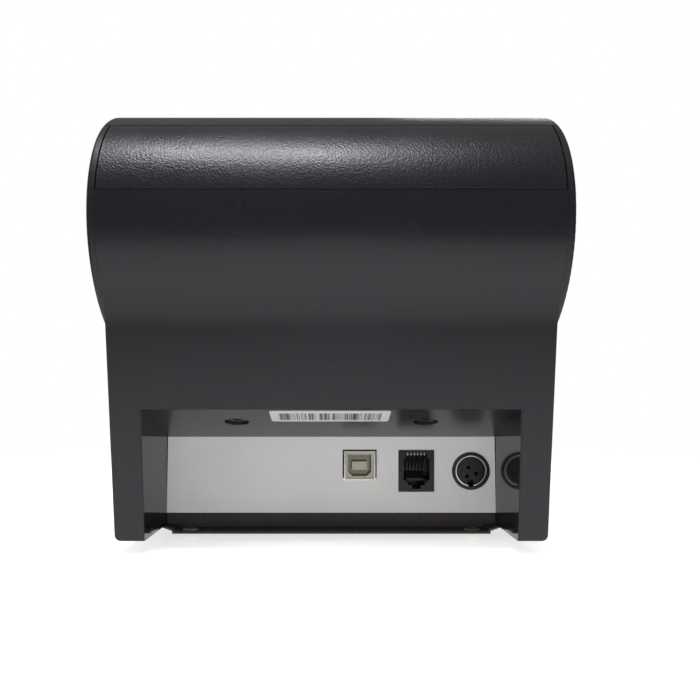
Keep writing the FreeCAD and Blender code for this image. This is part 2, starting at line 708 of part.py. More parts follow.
def platen_bushing():
    ring_solid = rod_x(PLATEN_Y, PLATEN_Z, BUSH_R, ARM_X0 - 0.6, PLATE_X1 + 0.6)
    return ring_solid.cut(rod_x(PLATEN_Y, PLATEN_Z, SHAFT_R + FIT, 40, 50))


def feed_motor():
    """Stepping motor behind the right side plate, with a flange and a boss."""
    can = rod_x(PINION[0], PINION[1], 15.6, 26.0, 44.8)
    flange = rod_x(PINION[0], PINION[1], 15.9, 44.8, PLATE_X0)
    boss = rod_x(PINION[0], PINION[1], 4.0, PLATE_X0 - 0.2, PLATE_X1)
    return fuse([can, flange, boss]).cut(rod_x(PINION[0], PINION[1], 1.06, 30.0, 60.0))


def motor_shaft():
    return rod_x(PINION[0], PINION[1], 1.0, 31.0, GEAR_X1 + 0.8)


def gear_guard():
    """A plastic cover outside the gear train, with a washer-like land for the idler."""
    plate = side_prism([(-22.0, 104.0), (-16.0, 78.0), (-34.0, 62.0), (-54.0, 64.0), (-58.0, 84.0),
                        (-50.0, 96.0)], 57.2, 58.8)
    leg_low = box(PLATE_X1, 57.3, -22.5, -20.0, 62.0, 68.0)
    tab_low = box(57.2, 58.8, -34.0, -20.0, 62.0, 68.0)
    leg_front = box(PLATE_X1, 57.3, -62.0, -59.5, 74.0, 80.0)
    tab_front = box(57.2, 58.8, -62.0, -52.0, 74.0, 80.0)
    return fuse([plate, tab_low, leg_low, tab_front, leg_front])


def thermal_head():
    """The ceramic print head, with its raised line of dots, just off the platen."""
    board = box(-41.0, 41.0, -7.6, -6.6, -6.0, 4.0)
    glaze = box(-40.0, 40.0, -6.7, -6.1, -1.0, 1.0)
    return tilted(fuse([board, glaze]))


def head_heatsink():
    """Aluminium plate behind the head, with fins and two pivot stubs."""
    plate = box(-41.0, 41.0, -9.6, -7.6, -9.0, 5.0)
    fins = [box(-41.0, 41.0, -12.6, -9.5, w, w + 1.2) for w in (-9.0, -4.6, -2.0, 0.6, 3.8)]
    stub = Part.makeCylinder(1.5, PLATE_X1 - 40.0, Vector(40.0, -11.0, -7.0), Vector(1, 0, 0))
    lug = box(39.0, 41.0, -13.0, -9.0, -9.0, -5.0)
    return tilted(fuse([plate, stub, mirrored(stub), lug, mirrored(lug)] + fins))


def spring(radius, wire, pitch, turns):
    """A coil spring along +Z from the origin, as short straight pieces of eight-sided wire."""
    steps = 20
    sides = 8
    rings = []
    for index in range(steps * turns + 1):
        angle = 2.0 * math.pi * index / steps
        ring_points = []
        for side in range(sides):
            turn = 2.0 * math.pi * side / sides
            reach = radius + wire * math.cos(turn)
            ring_points.append(Vector(reach * math.cos(angle), reach * math.sin(angle),
                                      pitch * index / steps + wire * math.sin(turn)))
        rings.append(ring_points)
    faces = [Part.Face(Part.makePolygon(end + end[:1])) for end in (rings[0], rings[-1])]
    for first, second in zip(rings, rings[1:]):
        for side in range(sides):
            after = (side + 1) % sides
            halves = ((first[side], first[after], second[side]), (first[after], second[after], second[side]))
            for corners in halves:
                faces.append(Part.Face(Part.makePolygon(list(corners) + [corners[0]])))
    return Part.Solid(Part.Shell(faces))


def head_springs():
    """Two coil springs between the back bar and the heatsink."""
    springs = []
    for x in (-20.0, 20.0):
        coil = spring(1.8, 0.28, 0.66, 3)
        coil.rotate(Vector(0, 0, 0), Vector(1, 0, 0), -90.0)
        coil.translate(Vector(x, -15.3, 2.9))
        springs.append(tilted(coil))
    return Part.makeCompound(springs)


def cutter_frame():
    """Steel plate that the moving blade slides on, with side guides and the gear's stud."""
    plate = box(-44.0, 44.0, -42.0, -7.6, 6.6, 8.1)
    guide = box(40.4, 44.0, -30.0, -8.0, 8.1, 10.2)
    lip = box(38.8, 44.0, -30.0, -8.0, 9.15, 10.2)
    stud = Part.makeCylinder(1.5, 4.6, Vector(CUT_GEAR_X, CUT_GEAR_V, 8.0))
    wing = box(43.0, PLATE_X0, -31.0, -12.0, 6.6, 8.1)
    body = fuse([plate, guide, mirrored(guide), lip, mirrored(lip), stud, wing, mirrored(wing)])
    return tilted(body.cut(Part.makeCylinder(3.0, 4.0, Vector(cutter_centre(), CUT_GEAR_V, 5.0))))


def fixed_blade():
    """The lid's cutter blade, above the platen."""
    return tilted(box(-41.0, 41.0, -4.4, 7.0, 9.1, 10.1))


def blade_holder():
    """Plastic bar in the lid that holds the fixed blade."""
    bar = box(-ARM_X0, ARM_X0, -3.6, 7.0, 10.1, 13.4)
    tail = box(-ARM_X0, ARM_X0, 7.0, 9.0, 8.0, 13.4)
    return tilted(fuse([bar, tail]))


def moving_blade():
    """The cutter's sliding blade with its V-shaped edge, and the rack that drives it."""
    outline = [(-40.0, -8.0), (-40.0, -23.0), (40.0, -23.0), (40.0, -8.0), (0.0, -11.0)]
    blade = plan_prism(outline, 8.2, 9.0)
    rack_x = CUT_GEAR_X + MODULE * CUT_TEETH / 2.0 + 0.12
    arm = box(rack_x + 1.2, rack_x + 4.4, -41.0, -22.0, 8.2, 9.0)
    bar = box(rack_x + 1.2, rack_x + 4.4, -41.0, -20.0, 8.9, 11.4)
    step = math.pi * MODULE
    teeth = []
    count = 8
    for index in range(-count, 3):
        v = CUT_GEAR_V + index * step
        teeth.append(plan_prism(
            [(rack_x + 1.3, v - 0.29 * step), (rack_x - 0.72, v - 0.10 * step),
             (rack_x - 0.72, v + 0.10 * step), (rack_x + 1.3, v + 0.29 * step)], 9.3, 11.4))
    teeth = [tooth for tooth in teeth if tooth.BoundBox.YMin > -41.0]
    return tilted(fuse([blade, arm, bar] + teeth))


def cutter_gear():
    solid = gear(CUT_TEETH, 2.1, 1.5 + FIT)
    solid.rotate(Vector(0, 0, 0), Vector(0, 0, 1), 180.0 / CUT_TEETH)
    solid.translate(Vector(CUT_GEAR_X, CUT_GEAR_V, 9.3))
    return tilted(solid)


def cutter_centre():
    return CUT_GEAR_X - MODULE * (CUT_TEETH + PINION_TEETH) / 2.0 - 0.12


def cutter_pinion():
    """The cutter motor's pinion, cut in one piece with its shaft."""
    solid = gear(PINION_TEETH, 2.1, 0.8)
    solid.translate(Vector(cutter_centre(), CUT_GEAR_V, 9.3))
    shaft = Part.makeCylinder(0.8, 15.0, Vector(cutter_centre(), CUT_GEAR_V, -3.0))
    return tilted(solid.fuse(shaft).removeSplitter())


def cutter_motor():
    """A small direct-current motor hung under the cutter plate."""
    can = Part.makeCylinder(7.6, 19.0, Vector(cutter_centre(), CUT_GEAR_V, -12.4))
    boss = Part.makeCylinder(2.6, 1.4, Vector(cutter_centre(), CUT_GEAR_V, 6.5))
    bore = Part.makeCylinder(0.86, 30.0, Vector(cutter_centre(), CUT_GEAR_V, -4.0))
    return tilted(can.fuse(boss).removeSplitter().cut(bore))


def front_cover():
    """The rounded front of the case, with its control panel, button holes and switch opening."""
    shell = envelope(0.0, -80.0, 80.0).common(taper())
    shell = shell.cut(envelope(WALL, -HALF_CORE + 2.4, HALF_CORE - 2.4))
    shell = shell.cut(bottom_opening())
    keep = box(-80, 80, -120, FRONT_SPLIT_Y - SEAM, -10, 200)
    shell = shell.common(keep).cut(side_seats())
    exit_gap = box(-EXIT_HALF, EXIT_HALF, EXIT_FRONT_Y, 0, 115, 200)
    shell = cut(shell, [exit_gap.cut(lid_pod(LID_SKIRT + SEAM, -81, 81)), lid_room()])
    shell = shell.cut(switch_void(0.0))
    shell = shell.cut(button_void(BUTTON_X, BUTTON_R + 0.3))
    for x in LED_X:
        shell = shell.cut(front_pin(x, 1.5, -3.0, 8.0))
    shell = shell.cut(release_void())
    lip = box(-EXIT_HALF, EXIT_HALF, EXIT_FRONT_Y - 1.6, EXIT_FRONT_Y, 112.0, 140.0)
    lip = lip.common(pod(0.0, -80, 80)).cut(pod(7.0, -80, 80))
    return fuse([shell, lip] + [base_boss(x, y) for x, y in BASE_SCREWS if y < 0])


def front_pin(x, radius, start, end):
    """A round bar square to the rounded front, at the control panel. Distances count inwards."""
    angle = math.radians(PANEL_DEG)
    axis = Vector(0, -math.cos(angle), math.sin(angle))
    base = Vector(x, FRONT_Y - FRONT_R * math.cos(angle), FRONT_Z + FRONT_R * math.sin(angle))
    return Part.makeCylinder(radius, end - start, base - axis * end, axis)


def button_void(x, radius):
    return front_pin(x, radius, -3.0, 6.0)


def feed_button():
    """The paper feed button, a round cap with a collar behind the cover and a plunger."""
    cap = front_pin(BUTTON_X, BUTTON_R, -0.8, 3.6)
    collar = front_pin(BUTTON_X, BUTTON_R + 1.4, 3.5, 4.5)
    plunger = front_pin(BUTTON_X, 1.2, 4.4, 6.2)
    return fuse([cap, collar, plunger])


def led_lenses():
    lenses = []
    for x in LED_X:
        lens = front_pin(x, 1.45, -0.25, 8.9)
        lenses.append(lens)
    return Part.makeCompound(lenses)


def panel_board():
    """The control panel's circuit board, square to the button."""
    angle = math.radians(PANEL_DEG)
    axis = Vector(0, -math.cos(angle), math.sin(angle))
    base = Vector(0, FRONT_Y - FRONT_R * math.cos(angle), FRONT_Z + FRONT_R * math.sin(angle))
    board = box(20.0, 56.0, -6.0, 6.0, -1.4, 0.0)
    board.rotate(Vector(0, 0, 0), Vector(1, 0, 0), 90.0 - PANEL_DEG)
    board.translate(base - axis * 9.0)
    switch = front_pin(BUTTON_X, 3.0, 7.0, 9.0)
    return Part.makeCompound([board, switch])


def release_void():
    return box(RELEASE_X0 - 0.4, RELEASE_X1 + 0.4, -68.0, FRONT_SPLIT_Y, 112.0, 140.0)


def release_button():
    """The cover release: a press button beside the paper exit, on a stem with a spring seat."""
    head = box(RELEASE_X0, RELEASE_X1, -67.6, -52.4, 117.0, 140.0).common(pod(-0.3, -80, 80))
    stem = rod_z(-57.0, -60.0, 2.4, 93.0, 118.0)
    seat = rod_z(-57.0, -60.0, 4.2, 108.0, 109.6)
    wedge = box(-52.4, -50.4, -62.0, -54.0, 102.6, 117.4)
    return fuse([head, stem, seat, wedge])


def release_guide():
    """A shelf in the case that guides the release stem and holds its spring."""
    shelf = box(-66.0, -50.0, -66.0, -50.0, 96.4, 98.4)
    leg = box(-66.0, -64.0, -66.0, -50.0, 58.0, 97.0)
    sleeve = rod_z(-57.0, -60.0, 4.2, 90.0, 98.4)
    return fuse([shelf, leg, sleeve]).cut(rod_z(-57.0, -60.0, 2.4 + 0.35, 80.0, 110.0))


def release_spring():
    coil = spring(3.4, 0.3, 1.75, 5)
    coil.translate(Vector(-57.0, -60.0, 98.9))
    return coil


def switch_void(grow):
    return box(SWITCH_X - SWITCH_HALF_X - grow, SWITCH_X + SWITCH_HALF_X + grow, -100.0, -92.0,
               SWITCH_Z - SWITCH_HALF_Z - grow, SWITCH_Z + SWITCH_HALF_Z + grow)


def power_switch_frame():
    """The mains rocker's frame: a bezel on the front cover and a box behind it."""
    face = FRONT_Y - FRONT_R
    bezel = box(SWITCH_X - 8.5, SWITCH_X + 8.5, face - BEZEL_PROUD, face, SWITCH_Z - 12.0, SWITCH_Z + 12.0)
    body = box(SWITCH_X - 6.9, SWITCH_X + 6.9, face, face + 18.0, SWITCH_Z - 10.4, SWITCH_Z + 10.4)
    hollow = box(SWITCH_X - 5.6, SWITCH_X + 5.6, face - 2.0, face + 12.0, SWITCH_Z - 9.2, SWITCH_Z + 9.2)
    pin = rod_x(face + ROCKER_DEPTH, SWITCH_Z, 1.2, SWITCH_X - 5.7, SWITCH_X + 5.7)
    return fuse([bezel, body]).cut(hollow).fuse(pin).removeSplitter()


def power_rocker():
    """The rocker, resting on its off stop: it turns about a pin behind its face."""
    face = FRONT_Y - FRONT_R
    pivot = face + ROCKER_DEPTH
    outline = [(pivot + 2.2, -2.4), (pivot + 2.2, 2.4), (pivot - 2.0, 8.4), (pivot - 6.0, 8.2),
               (pivot - 4.9, 0.0), (pivot - 6.0, -8.2), (pivot - 2.0, -8.4)]
    points = [(y, z + SWITCH_Z) for y, z in outline]
    body = side_prism(points, SWITCH_X - 5.2, SWITCH_X + 5.2)
    body = body.cut(rod_x(pivot, SWITCH_Z, 1.2 + FIT, SWITCH_X - 8, SWITCH_X + 8))
    return turned(body, ROCKER_REST, pivot, SWITCH_Z)


def tear_bar():
    """The steel strip with fine teeth along the paper exit."""
    top = surface_z(EXIT_FRONT_Y, 0.6)
    pitch = 1.6
    count = int(80.0 / pitch)
    points = [(-40.0, top - 7.0), (40.0, top - 7.0)]
    for index in range(count):
        x = 40.0 - index * pitch
        points.append((x, top - 1.6))
        points.append((x - pitch / 2.0, top - 0.4))
    points.append((-40.0, top - 1.6))
    return rear_prism(points, EXIT_FRONT_Y + 0.05, EXIT_FRONT_Y + 0.65)


def base_plate():
    """The pressed steel base: a shallow pan with raised side ears, an upturned rear flange and a ledge."""
    front = FRONT_Y - FRONT_R + 5.0
    ear = plan_prism([(LEDGE_HALF - SHEET, front), (BASE_HALF, front), (BASE_HALF, LEDGE_CORNER_Y - 3.0),
                      (RECESS_HALF_FOOT + 1.0, LEDGE_CORNER_Y), (LEDGE_HALF, LEDGE_REAR_Y),
                      (LEDGE_HALF - SHEET, LEDGE_REAR_Y)], EAR_LOW_Z, CASE_BOTTOM)
    step = box(LEDGE_HALF - SHEET, LEDGE_HALF, front, LEDGE_REAR_Y, PAN_LOW_Z, CASE_BOTTOM)
    rail = box(BASE_HALF - 2.6, BASE_HALF - 1.0, front, PANEL_Y - 3.0, CASE_BOTTOM - 0.1, 8.0)
    pan = box(-LEDGE_HALF, LEDGE_HALF, front, LEDGE_REAR_Y, PAN_LOW_Z, PAN_TOP_Z)
    flange_half = RECESS_HALF_FOOT - 0.3
    flange = box(-flange_half, flange_half, PANEL_Y - 1.5, PANEL_Y, CASE_BOTTOM - 0.1, PANEL_LOW_Z)
    riser = box(-LEDGE_HALF, LEDGE_HALF, PANEL_Y - 1.5, PANEL_Y, PAN_LOW_Z, CASE_BOTTOM)
    body = fuse([pan, riser, flange, ear, step, rail, mirrored(ear), mirrored(step), mirrored(rail)])
    for x in (-LEDGE_SCREW_X, LEDGE_SCREW_X):
        body = body.cut(rod_z(x, LEDGE_SCREW_Y, 1.4, 0.0, 5.0))
        body = body.cut(rod_z(x, LEDGE_SCREW_Y, 3.0, PAN_TOP_Z - 0.5, 5.0))
    for x, y in BASE_SCREWS:
        body = body.cut(rod_z(x, y, 1.4, 0.0, 5.0))
    return body


def base_screws():
    """Four screws that hold the base plate up against the case, with heads inside the feet's height."""
    screws = []
    for x, y in BASE_SCREWS:
        head = rod_z(x, y, 2.8, EAR_LOW_Z - 1.4, EAR_LOW_Z)
        shank = rod_z(x, y, 1.4, EAR_LOW_Z - 0.1, 11.0)
        screws.append(head.fuse(shank).removeSplitter())
    return Part.makeCompound(screws)


def ledge_screws():
    """Two low-headed screws sunk in the rear ledge, each with a cross recess."""
    screws = []
    for x in (-LEDGE_SCREW_X, LEDGE_SCREW_X):
        top = PAN_TOP_Z + 0.2
        head = rod_z(x, LEDGE_SCREW_Y, 3.0, PAN_TOP_Z - 0.5, top)
        head = head.makeFillet(0.15, [edge for edge in head.Edges if edge.BoundBox.ZMin > top - 0.01])
        shank = rod_z(x, LEDGE_SCREW_Y, 1.4, 1.9, PAN_TOP_Z - 0.4)
        slots = [box(x - 1.7, x + 1.7, LEDGE_SCREW_Y - 0.35, LEDGE_SCREW_Y + 0.35, top - 0.4, top + 1.0),
                 box(x - 0.35, x + 0.35, LEDGE_SCREW_Y - 1.7, LEDGE_SCREW_Y + 1.7, top - 0.4, top + 1.0)]
        screws.append(cut(head.fuse(shank).removeSplitter(), slots))
    return Part.makeCompound(screws)


def recess_screws():
    """Two screws deep in the wells of the recess ceiling."""
    screws = []
    for x in (-CEILING_SCREW_X, CEILING_SCREW_X):
        head = ceiling_pin(x, 3.7, 0.9, 2.9)
        slots = [ceiling_pin(x, 1.3, 0.0, 1.6)]
        shank = ceiling_pin(x, 1.55, 2.8, 7.2)
        screws.append(cut(head.fuse(shank).removeSplitter(), slots))
    return Part.makeCompound(screws)


def rubber_feet():
    feet = []
    for x in (-FOOT_X, FOOT_X):
        for y in (FOOT_FRONT_Y, FOOT_REAR_Y):
            feet.append(rod_z(x, y, 7.0, 0.0, PAN_LOW_Z))
    return Part.makeCompound(feet)


def usb_outline(half_w, half_h, cut_corner):
    """The socket's outline, wide at the top with both lower corners cut off."""
    return [(-half_w, half_h), (-half_w, -half_h + cut_corner), (-half_w + cut_corner, -half_h),
            (half_w - cut_corner, -half_h), (half_w, -half_h + cut_corner), (half_w, half_h)]


def placed(points, x, z):
    return [(x + px, z + pz) for px, pz in points]


def usb_shell():
    """The thin metal shell of the type B socket, hung under the board."""
    wall = USB_SHELL_WALL
    outer = box(USB_X - USB_SHELL_HALF, USB_X + USB_SHELL_HALF, PANEL_Y - 14.5, PANEL_Y + 0.9,
                USB_Z - USB_SHELL_LOW, USB_Z + USB_SHELL_HIGH)
    inner = box(USB_X - USB_SHELL_HALF + wall, USB_X + USB_SHELL_HALF - wall, PANEL_Y - 14.0, PANEL_Y + 2.0,
                USB_Z - USB_SHELL_LOW + wall, USB_Z + USB_SHELL_HIGH - wall)
    return outer.cut(inner)


def usb_insert():
    """The socket's moulded lining, with a mouth that has its lower corners cut off, and the tongue."""
    edge = USB_SHELL_WALL + 0.05
    block = box(USB_X - USB_SHELL_HALF + edge, USB_X + USB_SHELL_HALF - edge, PANEL_Y - 13.9, PANEL_Y + 0.3,
                USB_Z - USB_SHELL_LOW + edge, USB_Z + USB_SHELL_HIGH - edge)
    mouth = rear_prism(placed(usb_outline(4.3, 4.0, 1.6), USB_X, USB_Z - 0.2), PANEL_Y - 8.6, PANEL_Y + 3.0)
    tongue = box(USB_X - 2.85, USB_X + 2.85, PANEL_Y - 8.7, PANEL_Y + 0.1, USB_Z - 1.9, USB_Z + 1.3)
    return fuse([block.cut(mouth), tongue])


def jack_comb_x():
    """Sideways places of the six contact wires."""
    return [JACK_X + (index - 2.5) * JACK_PITCH for index in range(6)]


def drawer_jack():
    """The cash drawer socket: a block with a stepped mouth, a comb for the wires and a latch notch."""
    top = JACK_TOP_Z
    low = top - 15.5
    floor = low + 4.2
    back = PANEL_Y - 9.0
    block = box(JACK_X - 6.6, JACK_X + 6.6, PANEL_Y - 16.5, PANEL_Y + 0.5, low, top)
    mouth = box(JACK_X - 4.9, JACK_X + 4.9, back, PANEL_Y + 2.0, floor, top - 2.9)
    roof = box(JACK_X - 3.9, JACK_X + 3.9, back, PANEL_Y + 2.0, top - 3.0, top - 1.0)
    notch = box(JACK_X - 3.1, JACK_X + 3.1, back, PANEL_Y + 2.0, low + 2.4, floor + 0.1)
    gap = box(JACK_X - 1.6, JACK_X + 1.6, back, PANEL_Y + 2.0, low + 1.0, low + 2.5)
    step = box(JACK_X - 4.0, JACK_X + 4.0, PANEL_Y - 2.0, PANEL_Y + 2.0, low + 3.4, floor + 0.1)
    grooves = [box(x - 0.32, x + 0.32, back - 1.6, back + 1.0, floor + 2.4, top - 1.0) for x in jack_comb_x()]
    ramp = side_prism([(back - 0.5, floor - 0.5), (back - 0.5, floor + 2.4), (back + 1.0, floor + 2.4),
                       (back + 5.0, floor + 0.3), (back + 5.0, floor - 0.5)], JACK_X - 3.6, JACK_X + 3.6)
    return fuse([cut(block, [mouth, roof, notch, gap, step] + grooves), ramp])


def drawer_jack_contacts():
    """Six sprung wires that slope down from the roof of the socket into the comb at its back."""
    top = JACK_TOP_Z - 1.05
    wires = []
    for x in jack_comb_x():
        outline = [(PANEL_Y - 0.8, top), (PANEL_Y - 0.8, top - 0.9), (PANEL_Y - 1.4, top - 1.4),
                   (PANEL_Y - 9.8, top - 6.4), (PANEL_Y - 9.9, top - 5.9), (PANEL_Y - 1.6, top - 0.8),
                   (PANEL_Y - 1.6, top)]
        wires.append(side_prism(outline, x - 0.22, x + 0.22))
    return Part.makeCompound(wires)


def power_socket_body():
    """The three-pin power socket: a round mouth in a square block, with core and pin holes."""
    block = box(POWER_X - 7.0, POWER_X + 7.0, PANEL_Y - 15.0, PANEL_Y - 1.7, POWER_Z - 7.0, POWER_Z + 7.9)
    mouth = rod_y(POWER_X, POWER_Z, 7.05, PANEL_Y - 2.0, PANEL_Y + 0.5)
    core = rod_y(POWER_X, POWER_Z, 4.98, PANEL_Y - 9.0, PANEL_Y - 0.9)
    body = block.fuse(mouth).cut(rod_y(POWER_X, POWER_Z, 5.85, PANEL_Y - 8.0, PANEL_Y + 3.0))
    body = body.fuse(core).removeSplitter()
    for dx, dz in POWER_PINS:
        body = body.cut(rod_y(POWER_X + dx, POWER_Z + dz, 0.75, PANEL_Y - 8.0, PANEL_Y + 1.0))
    key = box(POWER_X - 1.2, POWER_X + 1.2, PANEL_Y - 6.0, PANEL_Y, POWER_Z - 5.2, POWER_Z - 3.4)
    return body.cut(key)


def power_socket_ring():
    """The split metal sleeve round the power socket's core."""
    sleeve = rod_y(POWER_X, POWER_Z, 5.8, PANEL_Y - 7.6, PANEL_Y - 0.2)
    sleeve = sleeve.cut(rod_y(POWER_X, POWER_Z, 5.4, PANEL_Y - 9.0, PANEL_Y + 1.0))
    return sleeve.cut(box(POWER_X - 1.0, POWER_X + 1.0, PANEL_Y - 9, PANEL_Y + 1, POWER_Z - 7, POWER_Z - 3))


def port_panel():
    """The white plate in the recess, with one cut-out per socket."""
    low = PANEL_LOW_Z + 0.05
    high = CEILING_PANEL_Z - 0.05
    half_low = RECESS_HALF_FOOT - 0.15
    half_high = RECESS_HALF_TOP - 0.1
    plate = rear_prism([(-half_low, low), (half_low, low), (half_high, high), (-half_high, high)],
                       PANEL_Y - 1.5, PANEL_Y - 0.02)
    usb = box(USB_X - USB_HOLE_HALF, USB_X + USB_HOLE_HALF, 40, 60, USB_Z - USB_SHELL_LOW - 0.05,
              USB_Z + USB_HOLE_HIGH)
    top = JACK_TOP_Z
    jack = box(JACK_X - 6.75, JACK_X + 6.75, 40, 60, top - 15.65, top + 0.15)
    power = rod_y(POWER_X, POWER_Z, 7.15, 40, 60)
    return cut(plate, [usb, jack, power])


def main_board():
    """The main circuit board, above the sockets."""
    board = box(-57.9, 40.0, -52.0, PANEL_Y - 3.0, BOARD_LOW_Z, BOARD_LOW_Z + 1.6)
    for x, y in BOARD_SCREWS:
        board = board.cut(rod_z(x, y, 1.7, 30.0, 40.0))
    return board


def board_posts():
    """Four pillars on the base plate under the main board, with their screws' shanks."""
    posts = []
    for x, y in BOARD_SCREWS:
        post = rod_z(x, y, 3.0, PAN_TOP_Z, BOARD_LOW_Z)
        post = post.fuse(rod_z(x, y, 1.6, BOARD_LOW_Z - 0.1, BOARD_LOW_Z + 2.0))
        cap = rod_z(x, y, 2.7, BOARD_LOW_Z + 1.6, BOARD_LOW_Z + 3.0)
        posts.append(post.fuse(cap).removeSplitter())
    return Part.makeCompound(posts)


def board_parts():
    """Larger parts under the board: processor, coil, capacitors, connectors and the round buzzer."""
    low = BOARD_LOW_Z
    parts = [
        box(-22.0, -8.0, -20.0, -6.0, low - 1.4, low),
        box(4.0, 16.0, -18.0, -6.0, low - 1.2, low),
        box(-44.0, -32.0, -4.0, 8.0, low - 4.6, low),
        box(20.0, 34.0, -42.0, -36.0, low - 6.0, low),
        box(-10.0, 10.0, -49.0, -44.0, low - 5.2, low),
        rod_z(-48.0, 20.0, 5.0, low - 14.0, low),
        rod_z(-36.0, 20.0, 5.0, low - 14.0, low),
        rod_z(28.0, 26.0, 4.0, low - 10.0, low),
        rod_z(6.0, 14.0, 6.0, low - 8.0, low).cut(rod_z(6.0, 14.0, 1.0, low - 9.0, low - 5.0)),
    ]
    return Part.makeCompound(parts)


def paper_sensor():
    """The optical paper sensor in the entry of the paper path."""
    return tilted(box(-6.0, 6.0, -7.4, -4.6, -13.0, -10.4))


def paper_guide():
    """The curved entry guide below the head, which also holds the paper sensor."""
    guide = box(-PLATE_X0, PLATE_X0, -9.4, -7.4, -13.0, -10.2)
    toe = box(-PLATE_X0, PLATE_X0, -7.5, 6.0, -14.8, -13.0)
    toe = toe.fuse(box(-PLATE_X0, PLATE_X0, -8.4, -7.4, -13.6, -13.0))
    return tilted(fuse([guide, toe]))


def bar_code_label():
    """The small label on the sloping ceiling, sunk by its own thickness."""
    angle = math.degrees(math.atan(CEILING_SLOPE))
    sheet = box(-20.0, 20.0, -6.2, 6.2, -0.15, 0.0)
    corners = [edge for edge in sheet.Edges if abs(edge.BoundBox.ZLength - 0.15) < 0.02]
    sheet = sheet.makeFillet(1.0, corners)
    sheet.rotate(Vector(0, 0, 0), Vector(1, 0, 0), angle)
    sheet.translate(Vector(0.4, LABEL_Y, ceiling_point(LABEL_Y)))
    return sheet


def build():
    singles = (
        main_housing, rear_cover, front_cover, bar_code_label, recess_screws,
        lid_cover, lid_frame, lid_screws, fixed_blade, blade_holder,
        paper_bucket, near_end_lever, mechanism_frame, frame_posts, head_springs, paper_sensor, paper_guide,
        platen_shaft, platen_rubber, platen_gear, idler_gear, motor_pinion, feed_motor, motor_shaft,
        gear_guard,
        thermal_head, head_heatsink, cutter_frame, moving_blade, cutter_gear, cutter_pinion, cutter_motor,
        feed_button, led_lenses, panel_board, release_button, release_guide, release_spring,
        power_switch_frame, power_rocker, tear_bar, base_plate, base_screws, ledge_screws, rubber_feet,
        port_panel, usb_shell, usb_insert, drawer_jack, drawer_jack_contacts, power_socket_body,
        power_socket_ring, main_board, board_posts, board_parts)
    pairs = {"hinge_pins": hinge_pin, "hinge_brackets": hinge_bracket, "platen_bushings": platen_bushing}
    for maker in singles:
        save(maker.__name__, maker())
    for name, maker in pairs.items():
        save(name, both_sides(maker()))
    panel = side_panel()
    save("left_side_panel", mirrored(panel))
    save("right_side_panel", panel)


build()
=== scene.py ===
import bmesh
import bpy
import json
import math
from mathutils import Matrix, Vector


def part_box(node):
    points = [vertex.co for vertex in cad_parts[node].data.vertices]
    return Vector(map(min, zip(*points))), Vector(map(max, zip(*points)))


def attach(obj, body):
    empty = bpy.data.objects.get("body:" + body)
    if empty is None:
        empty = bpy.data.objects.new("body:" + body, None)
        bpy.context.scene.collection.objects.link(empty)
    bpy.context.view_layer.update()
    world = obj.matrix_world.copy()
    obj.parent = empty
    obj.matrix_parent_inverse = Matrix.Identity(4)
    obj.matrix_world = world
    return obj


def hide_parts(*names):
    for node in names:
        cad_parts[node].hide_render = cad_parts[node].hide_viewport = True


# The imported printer, in metres: +Z up, +Y towards the sockets, whose side the camera looks at.
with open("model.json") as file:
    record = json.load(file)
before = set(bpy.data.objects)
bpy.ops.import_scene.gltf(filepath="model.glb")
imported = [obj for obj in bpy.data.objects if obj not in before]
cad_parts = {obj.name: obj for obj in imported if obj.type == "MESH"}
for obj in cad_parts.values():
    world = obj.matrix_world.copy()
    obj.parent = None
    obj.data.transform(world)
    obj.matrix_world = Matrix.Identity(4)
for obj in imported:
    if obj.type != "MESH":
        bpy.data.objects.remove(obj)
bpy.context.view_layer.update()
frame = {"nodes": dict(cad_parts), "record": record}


# Camera. It stands behind the printer, level, a little above the sockets. The shift puts the
# printer where the picture has it, left of the middle and low in the frame.
CAMERA_BACK = 0.2948
CAMERA_HIGH = 0.0513
FOCAL_PIXELS = 650.0
PICTURE_PIXELS = 700.0
AXIS_PIXEL = (331.3, 400.0)

camera_data = bpy.data.cameras.new("rear_camera")
camera_data.sensor_width = 36.0
camera_data.lens = FOCAL_PIXELS / PICTURE_PIXELS * camera_data.sensor_width
camera_data.shift_x = (PICTURE_PIXELS / 2 - AXIS_PIXEL[0]) / PICTURE_PIXELS
camera_data.shift_y = (AXIS_PIXEL[1] - PICTURE_PIXELS / 2) / PICTURE_PIXELS
camera_data.clip_start = 0.01
camera = bpy.data.objects.new("rear_camera", camera_data)
camera.location = (0.0, CAMERA_BACK, CAMERA_HIGH)
camera.rotation_euler = (math.radians(90), 0.0, math.radians(180))
bpy.context.scene.collection.objects.link(camera)
bpy.context.scene.camera = camera


# Studio. A pale floor that is white to the camera and keeps the printer's shadow, an overhead softbox
# that draws the long highlight on the curved cover, two weak side boxes, and a small one that fills
# the socket recess. Glossy faces see strengths of their own in the sky and the floor, which were fitted.
WHITE = (1.0, 1.0, 1.0, 1.0)
bpy.context.scene.view_settings.view_transform = "Standard"


def node(tree, kind, settings=None, feed=None):
    """Adds a shader node, sets its options, and feeds its inputs with values or other sockets."""
    made = tree.nodes.new(kind)
    for key, value in (settings or {}).items():
        setattr(made, key, value)
    for key, value in (feed or {}).items():
        if isinstance(value, bpy.types.NodeSocket):
            tree.links.new(value, made.inputs[key])
        else:
            made.inputs[key].default_value = value
    return made


def softbox(name, place, aim, width, height, power, tint=(1.0, 1.0, 1.0), mirrored=True):
    """A rectangular lamp at a place, aimed at another. Unless it is mirrored, it makes no highlight."""
    data = bpy.data.lights.new(name, "AREA")
    data.shape = "RECTANGLE"
    data.size = width
    data.size_y = height
    data.energy = power
    data.color = tint
    lamp = bpy.data.objects.new(name, data)
    lamp.location = place
    lamp.rotation_euler = (Vector(aim) - Vector(place)).to_track_quat("-Z", "Y").to_euler()
    lamp.visible_glossy = mirrored
    bpy.context.scene.collection.objects.link(lamp)


